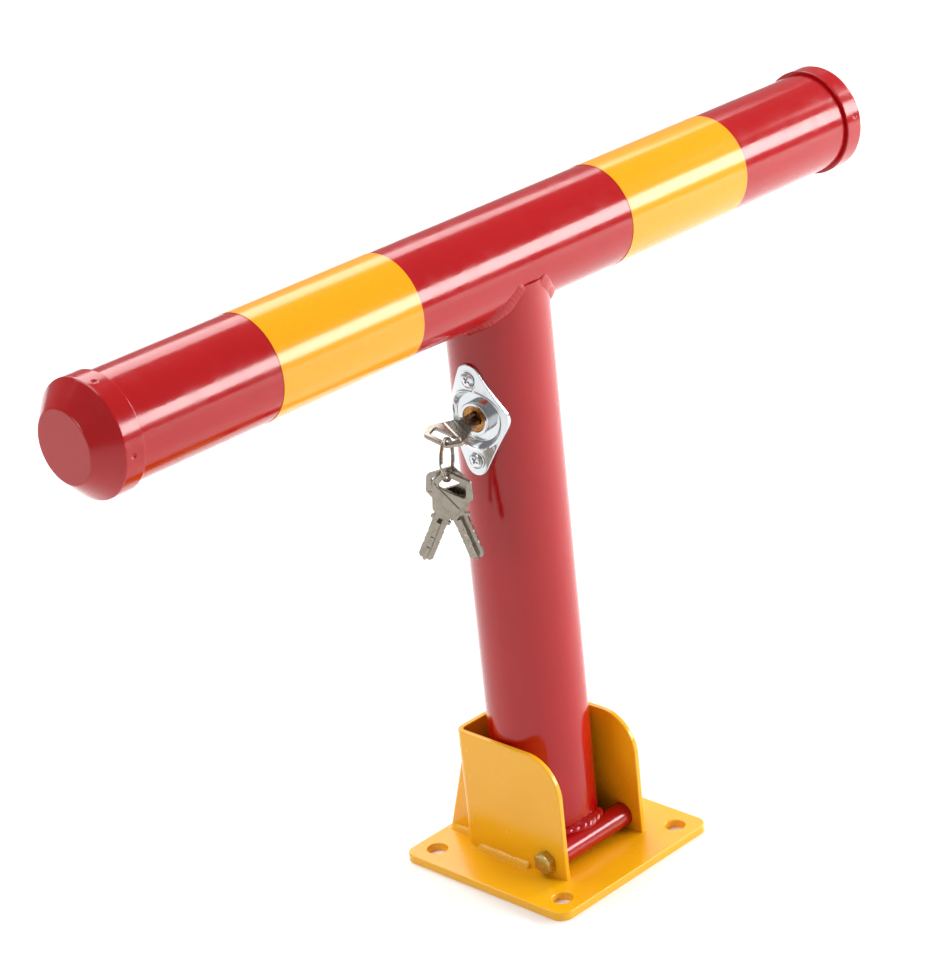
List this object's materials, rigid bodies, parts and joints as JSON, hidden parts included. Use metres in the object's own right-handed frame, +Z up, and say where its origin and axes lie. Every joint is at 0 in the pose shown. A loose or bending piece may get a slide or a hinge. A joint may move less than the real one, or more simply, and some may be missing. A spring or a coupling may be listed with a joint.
{
  "type": "folding parking lock",
  "caption": "T-shaped parking barrier: round post with capped crossbar and reflective bands, key lock, hinged to a U bracket on a bolt-down base plate.",
  "frame": {"origin": "centre of the four-hole bolt pattern on the underside of the base plate", "axes": "+Z up along the post, X along the crossbar, and -Y the side towards which the post folds"},
  "size_m": [0.607, 0.128, 0.3981],
  "materials": {
    "yellow_powder_coat": "glossy powder coat over welded steel, amber yellow",
    "red_powder_coat": "glossy powder coat over welded steel tube, signal red",
    "reflective_tape": "retroreflective film, yellow, wrapped round the bar",
    "yellow_zinc": "yellow passivated zinc plate",
    "chrome_plate": "satin bright chrome plate on pressed steel",
    "plug_brass": "turned brass",
    "bare_steel": "oiled bright steel inside the post",
    "key_nickel": "nickel plated, lightly rubbed"
  },
  "bodies": {
    "base": {"base_plate": "yellow_powder_coat", "pivot_bracket": "yellow_powder_coat", "gusset_left": "yellow_powder_coat", "gusset_right": "yellow_powder_coat", "bracket_welds": "yellow_powder_coat", "pivot_bolt": "yellow_zinc", "pivot_nut": "yellow_zinc", "pivot_washer": "yellow_zinc"},
    "post": {"pivot_tube": "red_powder_coat", "pivot_weld": "red_powder_coat", "post_tube": "red_powder_coat", "post_foot": "red_powder_coat", "rod_guide": "bare_steel", "crossbar_tube": "red_powder_coat", "crossbar_weld": "red_powder_coat", "reflective_band_left": "reflective_tape", "reflective_band_right": "reflective_tape", "end_cap_left": "red_powder_coat", "end_cap_right": "red_powder_coat", "lock_escutcheon": "chrome_plate", "escutcheon_screws": "chrome_plate", "lock_housing": "chrome_plate", "housing_nut": "chrome_plate", "driver_pins": "plug_brass", "rod_spring": "bare_steel"},
    "plug": {"lock_plug": "plug_brass", "key_pins": "plug_brass", "lock_cam": "bare_steel", "cam_screw": "bare_steel"},
    "rod": {"lock_rod": "bare_steel", "follower_pin": "bare_steel", "spring_collar": "bare_steel", "collar_pin": "bare_steel"},
    "key": {"lock_key": "key_nickel"},
    "ring": {"key_ring": "key_nickel"},
    "spare_front": {"spare_key_front": "key_nickel"},
    "spare_back": {"spare_key_back": "key_nickel"}
  },
  "joints": [
    {"name": "post_fold", "type": "hinge", "parent": "base", "child": "post", "pos_m": [0, -0.026, 0.014], "axis": [1, 0, 0], "range_deg": [0, 90]},
    {"name": "plug_turn", "type": "hinge", "parent": "post", "child": "plug", "pos_m": [0, 0.005, 0.283], "axis": [-0.9945, -0.1045, 0], "range_deg": [0, 90]},
    {"name": "rod_slide", "type": "slide", "parent": "post", "child": "rod", "axis": [0, 0, -1], "range_m": [0, 0.00801], "deforming": ["rod_spring"]},
    {"name": "key_pull", "type": "slide", "parent": "plug", "child": "key", "axis": [-0.9945, -0.1045, 0], "range_m": [0, 0.024]},
    {"name": "ring_swing", "type": "hinge", "parent": "key", "child": "ring", "pos_m": [-0.06195, -0.00736, 0.28155], "axis": [0.4848, -0.8746, 0], "range_deg": [-12, 3]},
    {"name": "spare_front_swing", "type": "hinge", "parent": "ring", "child": "spare_front", "pos_m": [-0.06457, -0.00882, 0.26153], "axis": [-0.8746, -0.4848, 0], "range_deg": [-20, 2]},
    {"name": "spare_back_swing", "type": "hinge", "parent": "ring", "child": "spare_back", "pos_m": [-0.05932, -0.00591, 0.26153], "axis": [-0.8746, -0.4848, 0], "range_deg": [-2, 20]}
  ],
  "couplings": [
    {"joint": "rod_slide", "follows": "plug_turn", "m_per_rad": 0.005093}
  ]
}
